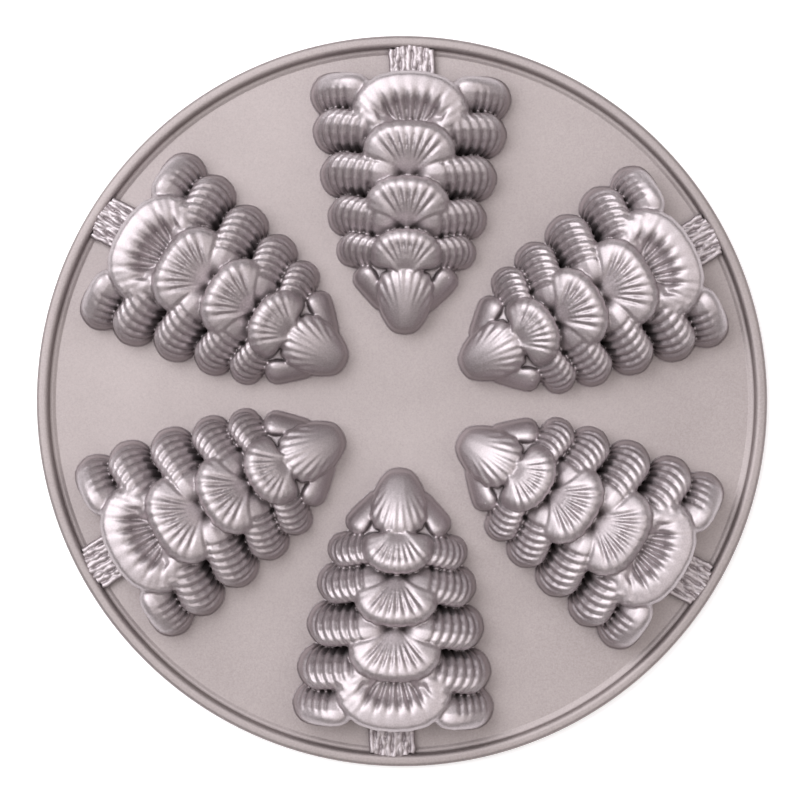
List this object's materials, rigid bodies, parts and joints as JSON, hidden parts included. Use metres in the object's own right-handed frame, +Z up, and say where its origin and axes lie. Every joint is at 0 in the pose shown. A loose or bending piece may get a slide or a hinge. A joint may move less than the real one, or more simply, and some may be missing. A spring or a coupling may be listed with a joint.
{
  "type": "tree-shaped cake pan",
  "caption": "Round cast cake pan with fluted tree-shaped cups pointing to its centre, ribbed trunks and a low lip round the edge.",
  "frame": {"origin": "centre of the flat baking face, where the pan lies face down", "axes": "+Z up from the baking face to the bottoms of the cups, +Y along one tree from its top to its trunk, +X to the right"},
  "size_m": [0.29, 0.29, 0.0328],
  "materials": {
    "cast_metal": "warm grey baked coating on cast aluminium, satin with a fine sparkle"
  },
  "bodies": {
    "root": {"deck": "cast_metal", "rim": "cast_metal", "tree_cup_1": "cast_metal", "tree_cup_2": "cast_metal", "tree_cup_3": "cast_metal", "tree_cup_4": "cast_metal", "tree_cup_5": "cast_metal", "tree_cup_6": "cast_metal", "trunk_cup_1": "cast_metal", "trunk_cup_2": "cast_metal", "trunk_cup_3": "cast_metal", "trunk_cup_4": "cast_metal", "trunk_cup_5": "cast_metal", "trunk_cup_6": "cast_metal"}
  },
  "joints": []
}
